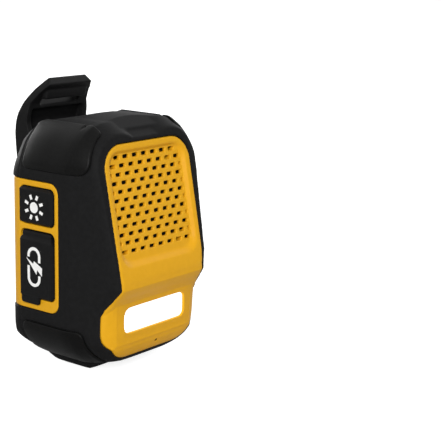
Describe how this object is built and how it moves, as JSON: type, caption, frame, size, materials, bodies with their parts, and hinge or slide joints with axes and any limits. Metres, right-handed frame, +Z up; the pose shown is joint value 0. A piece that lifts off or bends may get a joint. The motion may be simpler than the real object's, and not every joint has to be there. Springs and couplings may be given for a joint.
{
  "type": "jobsite bluetooth speaker",
  "caption": "Rugged clip-on speaker with leaning slotted grille panel, work light bar below it, rubber corner pads, side keys, hinged charging cover and sprung belt clip with lanyard slot",
  "frame": {"origin": "middle of the foot pad where it stands on the table", "axes": "+Z up; the grille faces -Y; +X is to the right seen from the front, the side with the power and volume keys"},
  "size_m": [0.0626, 0.0591, 0.1026],
  "materials": {
    "housing_black": "fine moulded texture",
    "panel_yellow": "satin moulded",
    "pad_rubber": "matte",
    "key_rubber": "matte",
    "clip_black": "fine moulded texture",
    "lens_white": "diffusing",
    "screw_steel": "plain",
    "mesh_cloth": "fine weave",
    "basket_black": "plain",
    "cone_black": "paper pulp",
    "board_green": "solder resist",
    "led_yellow": "phosphor",
    "cell_grey": "foil",
    "lead_red": "insulation"
  },
  "bodies": {
    "housing": {"front_housing": "housing_black", "rear_housing": "housing_black", "front_panel": "panel_yellow", "side_panel_left": "panel_yellow", "side_panel_right": "panel_yellow", "pad_top_left": "pad_rubber", "pad_top_right": "pad_rubber", "pad_bottom_left": "pad_rubber", "pad_bottom_right": "pad_rubber", "base_pad": "pad_rubber", "housing_gasket": "pad_rubber", "housing_screws": "screw_steel", "acoustic_mesh": "mesh_cloth", "driver_basket": "basket_black", "driver_magnet": "screw_steel", "driver_surround": "pad_rubber", "driver_screws": "screw_steel", "light_lens": "lens_white", "light_reflector": "lens_white", "led_board": "board_green", "light_leds": "led_yellow", "microphone": "screw_steel", "main_board": "board_green", "board_parts": "basket_black", "switch_board_left": "board_green", "switch_board_right": "board_green", "tact_switches": "basket_black", "usb_socket": "screw_steel", "battery_pack": "cell_grey", "battery_tray": "basket_black", "speaker_leads": "lead_red", "led_leads": "lead_red", "clip_pin": "screw_steel", "clip_spring": "screw_steel"},
    "clip": {"clip_lever": "clip_black"},
    "light_key": {"light_button": "key_rubber"},
    "power_key": {"power_button": "key_rubber"},
    "volume_up_key": {"volume_up_button": "key_rubber"},
    "volume_down_key": {"volume_down_button": "key_rubber"},
    "port_cover": {"charge_cover": "key_rubber"},
    "cone": {"driver_cone": "cone_black"}
  },
  "joints": [
    {"name": "clip_hinge", "type": "hinge", "parent": "housing", "child": "clip", "pos_m": [0, 0.0206, 0.075], "axis": [1, 0, 0], "range_deg": [0, 18], "stiffness_Nm_per_rad": 0.25, "springref_deg": -34.38, "deforming": ["clip_spring"]},
    {"name": "light_press", "type": "slide", "parent": "housing", "child": "light_key", "axis": [1, 0, 0], "range_m": [0, 0.0005], "stiffness_N_per_m": 1600, "springref_m": -0.0003},
    {"name": "power_press", "type": "slide", "parent": "housing", "child": "power_key", "axis": [-1, 0, 0], "range_m": [0, 0.0005], "stiffness_N_per_m": 1600, "springref_m": -0.0003},
    {"name": "volume_up_press", "type": "slide", "parent": "housing", "child": "volume_up_key", "axis": [-1, 0, 0], "range_m": [0, 0.0005], "stiffness_N_per_m": 1600, "springref_m": -0.0003},
    {"name": "volume_down_press", "type": "slide", "parent": "housing", "child": "volume_down_key", "axis": [-1, 0, 0], "range_m": [0, 0.0005], "stiffness_N_per_m": 1600, "springref_m": -0.0003},
    {"name": "cover_swing", "type": "hinge", "parent": "housing", "child": "port_cover", "pos_m": [-0.0293, 0.0048, 0.05065], "axis": [0, 1, 0], "range_deg": [0, 100]},
    {"name": "cone_stroke", "type": "slide", "parent": "housing", "child": "cone", "axis": [0, -0.9798, 0.1999], "range_m": [-0.0008, 0.0008], "stiffness_N_per_m": 1500, "deforming": ["driver_surround"]}
  ]
}
